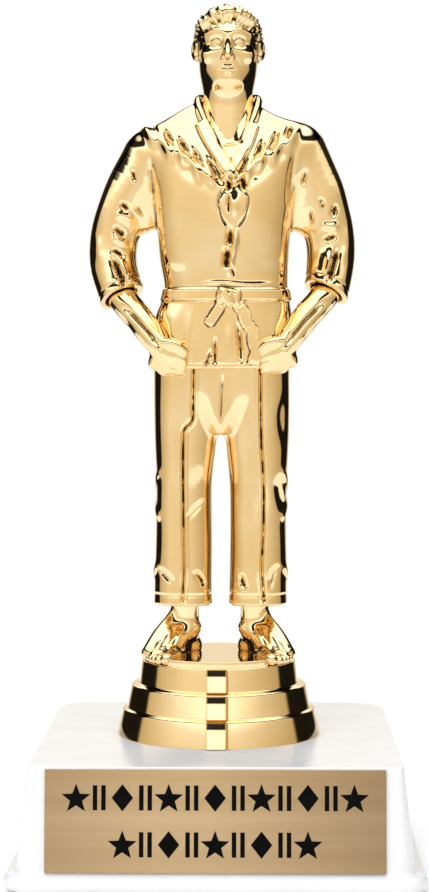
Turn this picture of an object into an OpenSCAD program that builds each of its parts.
// Award trophy: a hollow two-shell plated figure on a round stepped pedestal, clamped by one
// central threaded rod to a weighted, flared rectangular base with a nameplate.
// Millimetres. Origin: centre of the felt underside. +Z up, the figure faces -Y.

/* [Base] */
// Width of the flat top of the base, left to right.
base_top_w = 67; // [58:0.5:80]
// Depth of the flat top of the base, front to back.
base_top_d = 74; // [60:0.5:90]
// Height of the top of the base above the table, felt included.
base_h = 23; // [20:0.5:30]
// How far each wall flares outward between the top and the foot flange.
base_flare = 2.1; // [0.5:0.1:4]
// How far the foot flange stands out from the foot of the wall.
flange_out = 2.3; // [1:0.1:4]
// Height of the rounded foot flange.
flange_t = 3; // [2:0.1:4]
// Radius of the two front vertical corners.
front_corner_r = 1.3; // [0.8:0.1:6]
// Radius of the two back vertical corners.
back_corner_r = 8; // [2:0.5:15]
// Wall thickness of the moulded base.
base_wall = 2.2; // [1.5:0.1:3]

/* [Underside] */
// Thickness of the felt under the base.
felt_t = 1; // [0.5:0.1:2]
// Thickness of the card that closes the base.
card_t = 0.8; // [0.4:0.1:1.5]
// Width of the steel ballast block.
ballast_w = 50; // [30:1:56]
// Depth of the steel ballast block.
ballast_d = 56; // [30:1:62]
// Thickness of the steel ballast block.
ballast_t = 7; // [3:0.5:9]

/* [Nameplate] */
// Width of the nameplate.
plate_w = 60.4; // [40:0.5:64]
// Height of the nameplate along the sloping front wall.
plate_h = 18.2; // [10:0.1:18.4]
// Thickness of the nameplate.
plate_t = 0.5; // [0.3:0.1:1]
// Thickness of its adhesive film.
tape_t = 0.2; // [0.1:0.05:0.5]

/* [Rod and nuts] */
// Outside radius of the threaded rod.
rod_r = 3.1; // [2.4:0.1:4]
// Radial clearance of the rod in the base, the ballast and the washers.
rod_gap = 0.4; // [0.3:0.05:1]
// Distance across the flats of the hex nuts.
nut_flats = 11.1; // [9:0.1:13]
// Thickness of the hex nuts.
nut_t = 5.5; // [4:0.1:7]
// Thread pitch shown on the ends of the rod.
thread_pitch = 1.27; // [0.8:0.01:1.5]

/* [Pedestal] */
// Height of the pedestal's deck above the base.
deck_z = 14.3; // [10:0.1:20]
// Radius of the deck.
deck_r = 14.8; // [12:0.1:18]
// Largest radius, at the foot of the lowest tier.
pedestal_r = 19.6; // [16:0.1:24]
// Wall thickness of the pedestal.
pedestal_wall = 1.6; // [1.2:0.1:2.5]
// Height of the raised sole plate between the feet.
sole_plate_t = 1.2; // [0.5:0.1:2]

/* [Figure] */
// Height of the figure from the deck to the top of the hair.
figure_h = 126; // [100:1:150]
// Wall thickness of the hollow figure.
figure_wall = 1.4; // [1.2:0.1:2.5]
// How far each foot turns outward, in degrees.
foot_splay = 28; // [0:1:40]

/* [Hidden] */
eps = 0.01;
design_h = 126;                  // figure height at which the body tables below are written
body_k = figure_h / design_h;    // scale of the figure on its deck
card_z = felt_t;
flange_z = felt_t + flange_t;
bead_r = flange_t / 2;
foot_off = base_flare + flange_out;
rim_off = foot_off - bead_r;
roof_z = base_h - 2.4;
boss_z = base_h - 5.4;
ballast_z = boss_z - ballast_t;
thread_depth = 0.5;
washer_t = 1.2;
washer_z = ballast_z - washer_t;
spring_t = 1.6;
spring_z = washer_z - spring_t;
base_nut_z = spring_z - nut_t;
rod_low = base_nut_z - 0.2;
clear_r = rod_r + rod_gap;
snug_r = rod_r + 0.05;
ped_nut_z = base_h + 4;
rod_top = ped_nut_z + nut_t + 1;
nut_r = nut_flats / 2 / cos(30);
wall_slope = atan(base_flare / (base_h - flange_z));
boss_r = 9;                      // boss under the roof, round the rod
ped_boss_r = 8.4;                // boss inside the pedestal, round the rod and its nut
washer_r = 11;                   // fender washer
spring_r = 5.6;                  // spring washer
soft = 0.8;                      // rounding of the top edge of the base
rim_wall = 0.9;                  // thickness left at the rim of the foot flange
sole_plate_w = 19;               // width of the raised plate between the feet
arc_steps = 6;
fn_round = 64;
fn_turned = 96;
fn_limb = 14;
fn_small = 8;

// ---------- general helpers ----------

// Closed solid through a stack of rings that all have the same number of points.
module stack(rings) {
    n = len(rings[0]);
    m = len(rings);
    points = [for (ring = rings) for (p = ring) p];
    low = [for (i = [0:n - 1]) i];
    high = [for (i = [n - 1:-1:0]) (m - 1) * n + i];
    sides = [for (k = [0:m - 2]) for (i = [0:n - 1]) for (half = [0, 1])
        let (j = (i + 1) % n, a = k * n + i, b = a + n, c = (k + 1) * n + j, d = k * n + j)
        half == 0 ? [a, b, c] : [a, c, d]];
    polyhedron(points = points, faces = concat([low], [high], sides), convexity = 6);
}

// One corner of the base plan: an arc of radius r about its centre.
function corner(cx, cy, r, start, z) =
    [for (s = [0:arc_steps]) let (a = start + 90 * s / arc_steps) [cx + r * cos(a), cy + r * sin(a), z]];

// Plan of the base, offset outward from the plan of its flat top.
function plan(off, z) =
    let (w = base_top_w / 2 + off, d = base_top_d / 2 + off,
         rf = max(0.3, front_corner_r + off), rb = max(0.3, back_corner_r + off))
    concat(corner(w - rf, -d + rf, rf, -90, z), corner(w - rb, d - rb, rb, 0, z),
           corner(-w + rb, d - rb, rb, 90, z), corner(-w + rf, -d + rf, rf, 180, z));

// Hexagonal prism with the given distance across its flats.
module hex(flats, h) {
    cylinder(r = flats / 2 / cos(30), h = h, $fn = 6);
}

// ---------- base ----------

module base_outside() {
    bead = [for (a = [-90:30:90]) plan(rim_off + bead_r * cos(a), felt_t + bead_r + bead_r * sin(a))];
    wall = [plan(base_flare, flange_z + eps), plan(0, base_h - soft),
            plan(-0.3 * soft, base_h - 0.3 * soft), plan(-soft, base_h)];
    stack(concat(bead, wall));
}

module base_inside() {
    recess_z = felt_t + card_t;
    stack([plan(rim_off - rim_wall, 0), plan(rim_off - rim_wall, recess_z),
           plan(base_flare - base_wall, recess_z + eps), plan(base_flare - base_wall, flange_z),
           plan(-base_wall, roof_z)]);
}

// Four angle ribs under the roof keep the ballast from shifting.
module ballast_ribs() {
    rib_t = 1.4;
    rib_len = 7;
    gap = 0.3;
    for (sx = [-1, 1]) for (sy = [-1, 1]) {
        x0 = ballast_w / 2 + gap;
        y0 = ballast_d / 2 + gap;
        rib_h = roof_z - ballast_z;
        scale([sx, sy, 1]) translate([x0, y0 - rib_len, ballast_z + 1])
            cube([rib_t, rib_len + rib_t, rib_h]);
        scale([sx, sy, 1]) translate([x0 - rib_len, y0, ballast_z + 1])
            cube([rib_len + rib_t, rib_t, rib_h]);
    }
}

module base_shell() {
    color([0.96, 0.96, 0.97]) difference() {
        union() {
            difference() {
                base_outside();
                base_inside();
            }
            translate([0, 0, boss_z]) cylinder(r = boss_r, h = roof_z - boss_z + 1, $fn = fn_round);
            ballast_ribs();
        }
        translate([0, 0, -1]) cylinder(r = clear_r, h = base_h + 2, $fn = fn_round);
    }
}

module ballast() {
    chamfer = 2;
    color([0.36, 0.37, 0.38]) translate([0, 0, ballast_z]) difference() {
        translate([-ballast_w / 2, -ballast_d / 2, 0]) cube([ballast_w, ballast_d, ballast_t]);
        translate([0, 0, -1]) cylinder(r = clear_r, h = ballast_t + 2, $fn = fn_round);
        for (sx = [-1, 1]) for (sy = [-1, 1])
            translate([sx * ballast_w / 2, sy * ballast_d / 2, -1]) rotate([0, 0, 45])
                translate([-chamfer, -chamfer, 0]) cube([2 * chamfer, 2 * chamfer, ballast_t + 2]);
    }
}

module bottom_card() {
    card_off = rim_off - rim_wall - 0.2;
    color([0.55, 0.45, 0.33]) stack([plan(card_off, card_z), plan(card_off, card_z + card_t)]);
}

module felt_pad() {
    felt_off = rim_off - 0.2;
    color([0.08, 0.22, 0.13]) stack([plan(felt_off, 0), plan(felt_off, felt_t)]);
}

// Places a thin layer on the sloping front wall: z from the layer's lower edge, y outward.
module on_front_wall(lift) {
    mid_z = (flange_z + base_h) / 2 + 0.1;
    wall_y = -base_top_d / 2 - base_flare * (base_h - mid_z) / (base_h - flange_z);
    translate([0, wall_y, mid_z]) rotate([-wall_slope, 0, 0]) translate([0, -lift, 0]) children();
}

module nameplate_tape() {
    trim = 1;
    color([0.85, 0.85, 0.80]) on_front_wall(tape_t)
        translate([-plate_w / 2 + trim, 0, -plate_h / 2 + trim])
            cube([plate_w - 2 * trim, tape_t - eps, plate_h - 2 * trim]);
}

module nameplate() {
    color([0.80, 0.68, 0.47]) on_front_wall(tape_t + plate_t)
        translate([-plate_w / 2, 0, -plate_h / 2]) cube([plate_w, plate_t, plate_h]);
}

// ---------- rod, nuts and washers ----------

// Half profile of a threaded stretch: sharp grooves of one pitch each.
function thread(z0, turns) =
    [for (i = [0:turns - 1]) for (s = [0, 1])
        [rod_r - (s == 0 ? 0 : thread_depth), z0 + thread_pitch * (i + s / 2 + 0.25)]];

module threaded_rod() {
    turns = 5;
    point_h = 0.3;
    core_r = rod_r - thread_depth;
    low_z = rod_low + point_h;
    high_z = rod_top - 2 * point_h - turns * thread_pitch;
    color([0.72, 0.73, 0.75]) rotate_extrude($fn = 48)
        polygon(concat([[0, rod_low], [core_r, rod_low], [rod_r, low_z]], thread(low_z, turns),
                       [[rod_r, low_z + turns * thread_pitch + point_h], [rod_r, high_z]],
                       thread(high_z, turns), [[rod_r, rod_top - point_h], [core_r, rod_top], [0, rod_top]]));
}

module hex_nut(z) {
    bevel_r = 0.7;
    bevel_h = 0.5;
    translate([0, 0, z]) difference() {
        intersection() {
            hex(nut_flats, nut_t);
            rotate_extrude($fn = fn_round)
                polygon([[0, 0], [nut_r - bevel_r, 0], [nut_r + 0.1, bevel_h], [nut_r + 0.1, nut_t - bevel_h],
                         [nut_r - bevel_r, nut_t], [0, nut_t]]);
        }
        translate([0, 0, -1]) cylinder(r = snug_r, h = nut_t + 2, $fn = fn_round);
    }
}

module pedestal_nut() {
    color([0.75, 0.76, 0.78]) hex_nut(ped_nut_z);
}

module base_nut() {
    color([0.75, 0.76, 0.78]) hex_nut(base_nut_z);
}

module fender_washer() {
    color([0.78, 0.79, 0.80]) translate([0, 0, washer_z]) difference() {
        cylinder(r = washer_r, h = washer_t, $fn = fn_round);
        translate([0, 0, -1]) cylinder(r = clear_r, h = washer_t + 2, $fn = fn_round);
    }
}

// Split spring washer, shown pressed flat.
module lock_washer() {
    split = 0.8;
    color([0.70, 0.71, 0.73]) translate([0, 0, spring_z]) difference() {
        cylinder(r = spring_r, h = spring_t, $fn = fn_round);
        translate([0, 0, -1]) cylinder(r = snug_r + 0.1, h = spring_t + 2, $fn = fn_round);
        rotate([0, 0, 35]) translate([0, -split / 2, -1]) cube([spring_r + 1, split, spring_t + 2]);
    }
}

// ---------- pedestal ----------

// Tiers from the bottom up: foot radius, head radius, foot height, head height.
tiers = [[pedestal_r, pedestal_r - 1.1, 0, 5.0], [pedestal_r - 1.9, pedestal_r - 2.8, 5.2, 9.6],
         [deck_r + 0.5, deck_r, 9.9, deck_z]];

function tier_profile(inset) =
    concat([[0, 0]], [for (t = tiers) for (p = [[t[0] - inset, t[2]], [t[1] - inset, t[3]]]) p],
           [[0, deck_z]]);

// Half profile of the hollow under the pedestal.
function pedestal_hollow() =
    let (low_r = tiers[1][0] - pedestal_wall + 1.2, mid_r = tiers[1][1] - pedestal_wall - 0.3,
         top_r = deck_r - pedestal_wall, top_z = deck_z - pedestal_wall)
    [[0, -1], [low_r, -1], [low_r, 4.2], [mid_r, 5.2],
     [mid_r, 8.6], [top_r, 9.9], [top_r, top_z], [0, top_z]];

// Raised pad with a sloping head on the front or back of one tier.
module tier_pad(t) {
    half_w = 2.1;
    stand = 0.8;
    slope_h = 1.3;
    translate([-half_w, 0, 0]) rotate([90, 0, 90]) linear_extrude(2 * half_w)
        polygon([[-t[0] + 2, t[2] + 0.2], [-t[0] - stand, t[2] + 0.2], [-t[1] - stand, t[3] - slope_h],
                 [-t[1] + 0.3, t[3] - 0.2], [-t[1] + 2, t[3] - 0.2]]);
}

module pedestal() {
    rib_t = 1.2;
    peg_gap = 0.15;
    hole_r = snug_r + 0.15;
    color([0.93, 0.76, 0.42]) translate([0, 0, base_h]) difference() {
        union() {
            difference() {
                rotate_extrude($fn = fn_turned) polygon(tier_profile(0));
                rotate_extrude($fn = fn_turned) polygon(pedestal_hollow());
            }
            translate([0, 0, 1]) cylinder(r = ped_boss_r, h = deck_z - 1.5, $fn = fn_round);
            intersection() {
                for (a = [30:60:330]) rotate([0, 0, a]) translate([ped_boss_r - 1, -rib_t / 2, 3])
                    cube([pedestal_r, rib_t, deck_z - 4]);
                rotate_extrude($fn = fn_turned) polygon(tier_profile(pedestal_wall / 2));
            }
            for (t = tiers) for (turn = [0, 180]) rotate([0, 0, turn]) tier_pad(t);
            intersection() {
                translate([-sole_plate_w / 2, -deck_r, deck_z - 0.5])
                    cube([sole_plate_w, 2 * deck_r, sole_plate_t + 0.5]);
                cylinder(r = deck_r - 0.4, h = 2 * deck_z, $fn = fn_turned);
            }
        }
        translate([0, 0, -1]) cylinder(r = hole_r, h = rod_top - base_h + 2, $fn = fn_round);
        translate([0, 0, ped_nut_z - base_h - 0.05]) hex(nut_flats + 0.1, nut_t + 0.1);
        for (p = foot_pegs) translate([p[0], p[1], deck_z - 4])
            cylinder(r = peg_r + peg_gap, h = 8, $fn = 32);
    }
}

// ---------- figure ----------

// Heights in this section are above the deck of the pedestal, with x and y as in the whole part.
peg_r = 1.3;
ankles = [[-6.5, 0.9], [7.0, 0.9]];
foot_pegs = [for (i = [0, 1]) let (side = i == 0 ? -1 : 1) for (along = [-5.5, 2.8])
    [ankles[i][0] - side * along * sin(foot_splay), ankles[i][1] + along * cos(foot_splay)]];

// Rows of the jacket from hem to collar: height, centre x, centre y, half width, half depth.
jacket_rows = [[56.5, 0.6, 0.2, 13.1, 8.6], [62, 0.9, 0.2, 13.1, 8.5], [68.5, 1.4, 0, 12.4, 8.1],
               [72, 1.5, 0, 11.7, 8.0], [78, 1.0, -0.2, 12.5, 8.5], [85, 1.0, -0.4, 13.0, 9.0],
               [91, 1.1, -0.4, 13.9, 8.9], [96, 1.2, -0.4, 15.2, 8.3], [100, 1.6, -0.2, 15.8, 7.0],
               [102.6, 2.2, 0.4, 14.4, 5.5], [104.6, 0.8, 0.9, 9.4, 4.7], [107.5, 1.7, 0.8, 5.0, 4.5]];
// Rows of each trouser leg from hem to seat.
left_leg_rows = [[10.6, -6.95, 0.4, 5.5, 5.9], [13, -6.95, 0.4, 5.4, 5.7], [24, -6.9, 0.3, 5.2, 5.6],
                 [34.5, -6.85, 0, 5.1, 5.8], [43.5, -6.5, 0, 5.8, 6.4], [50, -6.2, 0.2, 6.3, 7.1],
                 [58, -5.7, 0.3, 6.7, 7.7]];
right_leg_rows = [[10.6, 7.6, 0.4, 5.5, 5.9], [13, 7.6, 0.4, 5.4, 5.7], [24, 7.6, 0.3, 5.3, 5.6],
                  [34.5, 7.6, 0, 5.4, 5.8], [43.5, 7.4, 0, 6.0, 6.4], [50, 7.2, 0.2, 6.4, 7.1],
                  [58, 6.8, 0.3, 6.7, 7.7]];
leg_rows = [left_leg_rows, right_leg_rows];

// Rows of the seat, from the crotch up to the belt.
seat_rows = [[43.2, 0.4, 0.2, 0.6, 2.2], [44.5, 0.4, 0.2, 2.2, 3.8], [47.5, 0.5, 0.2, 5.2, 5.3],
             [51.5, 0.6, 0.2, 9.0, 6.6], [58, 0.6, 0.2, 12.0, 7.9]];

// Squareness of the rows of the jacket and of the legs.
jacket_p = 2.6;
leg_p = 2.3;

// Smooth curve through four neighbouring rows.
function blend(a, b, c, d, t) =
    0.5 * (2 * b + (c - a) * t + (2 * a - 5 * b + 4 * c - d) * pow(t, 2)
           + (3 * b - a - 3 * c + d) * pow(t, 3));
function row_at(rows, u) =
    let (last = len(rows) - 1, k = min(floor(u), last - 1), t = u - k)
    blend(rows[max(k - 1, 0)], rows[k], rows[k + 1], rows[min(k + 2, last)], t);

// Ring of n points on a rounded oval whose squareness grows with p.
function oval(row, p, n, grow) =
    [for (i = [0:n - 1]) let (a = 360 * i / n, c = cos(a), s = sin(a))
        [row[1] + (row[3] + grow) * sign(c) * pow(abs(c), 2 / p),
         row[2] + (row[4] + grow) * sign(s) * pow(abs(s), 2 / p), row[0]]];

module loft(rows, p, n, steps, grow) {
    m = (len(rows) - 1) * steps;
    stack([for (k = [0:m]) oval(row_at(rows, k / steps), p, n, grow)]);
}

// The row of a table at any height.
function row_of_z(rows, z, k = 0) =
    k >= len(rows) - 2 || z < rows[k + 1][0]
        ? let (t = (z - rows[k][0]) / (rows[k + 1][0] - rows[k][0])) rows[k] * (1 - t) + rows[k + 1] * t
        : row_of_z(rows, z, k + 1);

// Y of the front surface of a lofted body at a given x and height.
function front_y(rows, p, x, z) =
    let (r = row_of_z(rows, z), q = min(0.98, abs(x - r[1]) / r[3]))
    r[2] - r[4] * pow(1 - pow(q, p), 1 / p);

// Chain of rounded links, each point being x, y, z and radius; small links get fewer facets.
module chain(points) {
    for (i = [0:len(points) - 2]) hull() for (p = [points[i], points[i + 1]])
        translate([p[0], p[1], p[2]]) sphere(r = p[3], $fn = p[3] < 1.3 ? fn_small : fn_limb);
}

// Chain laid on the front of the jacket, each point being x, z and radius.
module on_chest(points, sink) {
    chain([for (p = points) [p[0], front_y(jacket_rows, jacket_p, p[0], p[1]) + sink, p[1], p[2]]]);
}

module jacket() {
    loft(jacket_rows, jacket_p, 36, 2, 0);
    // Edge of the crossed jacket fronts, from the collar to the belt and on to the hem.
    on_chest([[-3.4, 104, 1.3], [-1.6, 99.5, 1.3], [0.9, 95.5, 1.2], [3.2, 91.5, 1.0], [3.7, 87, 0.8],
              [2.6, 82, 0.6], [1.4, 76, 0.5]], 0.5);
    on_chest([[6.8, 103, 1.3], [5.8, 99, 1.3], [3.8, 95, 1.2], [1.8, 91, 0.9], [0.4, 86, 0.7],
              [0.6, 80, 0.5]], 0.5);
    // Folds hanging from the shoulders.
    for (f = [[-12.5, 99, -5, 91], [-9.5, 99.5, -3, 94], [13.5, 98, 8.5, 91.5], [10.5, 99.5, 6.5, 93]])
        on_chest([[f[0], f[1], 0.8], [(f[0] + f[2]) / 2, (f[1] + f[3]) / 2, 0.9], [f[2], f[3], 0.5]], 0.4);
    // Folds in the skirt below the belt.
    for (x = [-3.5, 0.5, 4.6]) on_chest([[x, 67, 0.4], [x - 0.3, 62, 0.6], [x - 0.7, 57.4, 0.7]], 0.3);
    // Collar standing round the neck.
    collar_rows = [[103.4, 1.5, 1.0, 6.4, 5.6], [105.6, 1.6, 1.2, 5.7, 5.1], [108, 1.7, 1.6, 5.3, 4.7]];
    difference() {
        stack([for (r = collar_rows) oval(r, 2, 24, 0)]);
        translate([1.8, -6.5, 109]) rotate([38, 0, 0]) cube([9, 8, 14], center = true);
    }
}

module belt() {
    // Heights of the band's edges and how far it stands out there.
    band = [[68.6, 0.3], [69, 0.6], [71.2, 0.6], [71.6, 0.3]];
    stack([for (b = band) let (r = row_of_z(jacket_rows, b[0]))
        oval([b[0], r[1], r[2], r[3], r[4]], jacket_p, 36, b[1])]);
    // Knot and its two hanging ends.
    chain([[0.2, -8.6, 69.7, 0.9], [2.2, -9.0, 69.5, 1.2], [4.2, -8.6, 69.7, 0.9]]);
    chain([[1.6, -8.9, 69.2, 0.8], [0.2, -9.0, 67.2, 0.7], [-1.2, -8.9, 65.2, 0.6]]);
    chain([[2.8, -8.9, 69.2, 0.8], [5.4, -9.0, 65.6, 0.8], [6.7, -8.8, 62.4, 0.8], [6.8, -8.6, 58.6, 0.7]]);
}

module trousers() {
    for (i = [0, 1]) {
        rows = leg_rows[i];
        crease_x = i == 0 ? 0.4 : 0.8;
        loft(rows, leg_p, 24, 2, 0);
        // Pressed crease down the front of the leg.
        chain([for (z = [11, 20, 30, 40, 48]) let (r = row_of_z(rows, z))
            [r[1] + crease_x, r[2] - r[4] + 0.15, z, 0.5]]);
        // Hem band.
        stack([for (z = [10.6, 12]) let (r = row_of_z(rows, z))
            oval([z, r[1], r[2], r[3], r[4]], leg_p, 24, 0.25)]);
    }
    // Seat joining the two legs under the jacket.
    loft(seat_rows, 2.2, 24, 1, 0);
}

// Shoulder, mid sleeve and elbow of each arm with their radii, then the centre of its hem and the wrist.
left_arm = [[-13.0, 0.5, 96.0, 5.1], [-18.0, 0.8, 87.5, 4.75], [-20.2, 1.0, 78.2, 4.5],
            [-18.5, -1.6, 70.2], [-11.4, -7.2, 59.9]];
right_arm = [[15.4, 0.5, 97.3, 5.1], [19.6, 0.8, 88.5, 4.75], [21.6, 1.0, 78.8, 4.5],
             [20.6, -1.6, 71.2], [13.4, -7.2, 60.3]];
arms = [left_arm, right_arm];
hem_r = 3.9;

module sleeve(arm, shrink) {
    reach = [arm[4][0] - arm[2][0], arm[4][1] - arm[2][1], arm[4][2] - arm[2][2]];
    bearing = atan2(reach[1], reach[0]);
    lean = acos(reach[2] / norm(reach));
    chain([for (i = [0:2]) [arm[i][0], arm[i][1], arm[i][2], arm[i][3] - shrink]]);
    hull() {
        translate([arm[2][0], arm[2][1], arm[2][2]]) sphere(r = arm[2][3] - shrink, $fn = fn_limb);
        translate(arm[3]) rotate([0, lean, bearing]) cylinder(r = hem_r - shrink, h = 0.6, $fn = 24);
    }
}

// Loosely closed hand at the end of a forearm; side is -1 or 1.
module hand(wrist, side) {
    knuckle = [wrist[0] - side * 3.2, wrist[1] - 1.6, wrist[2] - 2.2];
    hull() {
        translate(wrist) sphere(r = 1.7, $fn = fn_limb);
        translate(knuckle + [side * 0.4, 0.2, 1.4]) sphere(r = 1.5, $fn = fn_limb);
        translate(knuckle + [side * 0.6, 0.6, -1.4]) sphere(r = 1.4, $fn = fn_limb);
    }
    for (f = [0:3]) {
        root = knuckle + [side * (0.2 + 0.1 * f), -0.3, 1.8 - 1.25 * f];
        chain([[root[0], root[1], root[2], 0.78], [root[0] - side * 1.9, root[1] + 0.1, root[2] - 0.3, 0.74],
               [root[0] - side * 2.2, root[1] + 1.6, root[2] - 0.5, 0.68]]);
    }
    // Thumb.
    chain([[wrist[0] - side * 0.4, wrist[1] - 0.8, wrist[2] + 0.9, 0.9],
           [knuckle[0], knuckle[1] - 0.2, knuckle[2] + 2.9, 0.85],
           [knuckle[0] - side * 2.0, knuckle[1], knuckle[2] + 2.5, 0.7]]);
}

module bare_arm(arm, side) {
    below_hem = (arm[3] * 2 + arm[4]) / 3;
    chain([[arm[2][0], arm[2][1], arm[2][2], 2.9], [below_hem[0], below_hem[1], below_hem[2], 2.5],
           [arm[4][0], arm[4][1], arm[4][2], 1.75]]);
    hand(arm[4], side);
}

// Bare foot standing on the deck; side is -1 or 1.
module foot(ankle, side) {
    translate([ankle[0], ankle[1], 0]) rotate([0, 0, side * foot_splay]) {
        chain([[0, -0.2, 12, 2.8], [0, 0, 7.5, 2.6], [0, 0.6, 4.2, 2.6]]);
        hull() {
            translate([0, 2.4, 2]) sphere(r = 2.3, $fn = fn_limb);
            translate([0, 0.2, 5]) sphere(r = 2.4, $fn = fn_limb);
            translate([side * 0.4, -8.2, 1.6]) scale([1.7, 1.1, 0.8]) sphere(r = 2, $fn = fn_limb);
            translate([0, 2.4, 0]) cylinder(r = 2.2, h = 0.5, $fn = 24);
            translate([side * 0.4, -8.2, 0]) cylinder(r = 3.2, h = 0.5, $fn = 24);
        }
        for (toe = [0:4]) {
            size = toe == 0 ? 1.15 : 0.85 - 0.05 * toe;
            x = -side * (2.5 - (toe == 0 ? 0 : 0.6) - 1.25 * toe);
            reach = -11.6 + 0.45 * toe * toe * 0.6;
            chain([[x, -8.4, 1.5, size + 0.2], [x, reach, size, size]]);
        }
    }
}

head_at = [1.8, 0, 118.2];

module head() {
    translate(head_at) {
        // Neck.
        translate([0, 1.0, -14.5]) cylinder(r1 = 4.7, r2 = 4.2, h = 9, $fn = 24);
        // Skull, cheeks and chin.
        hull() {
            translate([0, 0.9, 0.8]) scale([0.83, 1.0, 0.95]) sphere(r = 6.8, $fn = 24);
            translate([0, -1.2, -3.6]) scale([0.98, 0.92, 0.9]) sphere(r = 4.8, $fn = 20);
            translate([0, -3.5, -6.7]) scale([1.3, 1, 0.8]) sphere(r = 1.8, $fn = 14);
        }
        // Nose, brow, eyes and lips.
        hull() {
            translate([0, -5.7, 0.4]) sphere(r = 0.5, $fn = 8);
            translate([0, -6.4, -2.6]) sphere(r = 0.6, $fn = 8);
            translate([0, -5.4, -3.1]) scale([1.7, 1, 0.7]) sphere(r = 0.7, $fn = 8);
        }
        for (side = [-1, 1]) {
            chain([[side * 0.9, -5.6, 1.3, 0.4], [side * 2.4, -5.3, 1.6, 0.45],
                   [side * 3.9, -4.2, 1.2, 0.4]]);
            translate([side * 2.2, -4.85, 0]) scale([1.3, 0.8, 0.7]) sphere(r = 0.8, $fn = 10);
            // Ear.
            translate([side * 5.9, 1.1, -1.2]) scale([0.5, 0.75, 1.1]) sphere(r = 2, $fn = 14);
        }
        for (z = [-4.8, -5.4]) chain([[-1.2, -5.0, z, 0.35], [0, -5.3, z, 0.45], [1.2, -5.0, z, 0.35]]);
        // Short hair, cut away over the face and below the neckline, with low combed ridges.
        difference() {
            translate([0, 1.3, 0.9]) scale([0.97, 1.03, 0.98]) sphere(r = 7, $fn = 28);
            translate([0, -8.9, -3.6]) rotate([-14, 0, 0]) cube([20, 10, 14.5], center = true);
            translate([0, 0, -10]) cube([20, 20, 10], center = true);
        }
        for (a = [-36:18:36]) rotate([0, a, 0])
            chain([[0, -4.4, 5.4, 0.5], [0, 0, 7.1, 0.55], [0, 4.8, 6.3, 0.5]]);
    }
}

module figure_solid() {
    translate([0, 0, base_h + deck_z]) scale([body_k, body_k, body_k]) {
        jacket();
        belt();
        trousers();
        head();
        for (i = [0, 1]) {
            sleeve(arms[i], 0);
            bare_arm(arms[i], i == 0 ? -1 : 1);
            foot(ankles[i], i == 0 ? -1 : 1);
        }
    }
}

// Hollow inside the head, the trunk, the sleeves and the legs.
module figure_hollow() {
    sleeve_wall = figure_wall + 0.2;
    translate([0, 0, base_h + deck_z]) scale([body_k, body_k, body_k]) {
        intersection() {
            loft(jacket_rows, 2.4, 20, 1, -figure_wall);
            translate([-20, -20, 58]) cube([40, 40, 44.5]);
        }
        for (i = [0, 1]) {
            intersection() {
                loft(leg_rows[i], 2.2, 16, 1, -figure_wall);
                translate([-20, -20, 13]) cube([40, 40, 44]);
            }
            chain([for (k = [0:2]) let (p = arms[i][k]) [p[0], p[1], p[2], p[3] - sleeve_wall]]);
        }
        translate(head_at + [0, 0.9, 0.6]) scale([0.86, 1.0, 0.94]) sphere(r = 5.1, $fn = 16);
    }
}

// Where the two shells are keyed together: x, height above the deck.
keys = [[1.3, 92], [1.3, 66], [-6.8, 30], [7.6, 30]];
key_r = 0.9;
part_gap = 0.02;                 // between the parting faces
key_out = 2;                     // reach of a key pin beyond the parting face

// Posts from front to back that carry the key pins and their sockets.
module key_posts(depth) {
    for (k = keys) translate([k[0], 0, base_h + deck_z + k[1]]) rotate([90, 0, 0])
        cylinder(r = 2 * key_r + 0.2, h = 2 * depth, center = true, $fn = 16);
}

// Pins of radius r that end at a distance y behind the parting face.
module key_pins(r, y) {
    for (k = keys) translate([k[0], y, base_h + deck_z + k[1]]) rotate([90, 0, 0])
        cylinder(r = r, h = key_out + 1, $fn = 16);
}

// Half of the hollow figure: side is -1 for the front, 1 for the back.
module figure_half(side) {
    half = 50;
    intersection() {
        union() {
            difference() {
                figure_solid();
                figure_hollow();
            }
            intersection() {
                figure_solid();
                key_posts(9);
            }
        }
        translate([-half, side < 0 ? -half : part_gap, base_h + deck_z])
            cube([2 * half, half - (side < 0 ? 0 : part_gap), 2 * figure_h]);
    }
}

module foot_peg(p) {
    translate([p[0], p[1], base_h + deck_z - 3]) cylinder(r = peg_r, h = 5, $fn = 24);
}

module figure_front_shell() {
    color([0.95, 0.78, 0.44]) {
        difference() {
            figure_half(-1);
            translate([0, 0, base_h]) sole_cut();
        }
        for (p = foot_pegs) if (p[1] < 0) foot_peg(p);
        key_pins(key_r, key_out);
    }
}

module figure_back_shell() {
    color([0.95, 0.78, 0.44]) {
        difference() {
            figure_half(1);
            translate([0, 0, base_h]) sole_cut();
            key_pins(key_r + 0.1, key_out + 0.3);
        }
        for (p = foot_pegs) if (p[1] > 0) foot_peg(p);
    }
}

// Room for the sole plate between the feet.
module sole_cut() {
    gap = 0.05;
    translate([-sole_plate_w / 2 - gap, -deck_r, deck_z - 1])
        cube([sole_plate_w + 2 * gap, 2 * deck_r, sole_plate_t + 1 + gap]);
}

figure_front_shell();
figure_back_shell();
pedestal();
pedestal_nut();
threaded_rod();
base_shell();
ballast();
fender_washer();
lock_washer();
base_nut();
bottom_card();
felt_pad();
nameplate();
nameplate_tape();
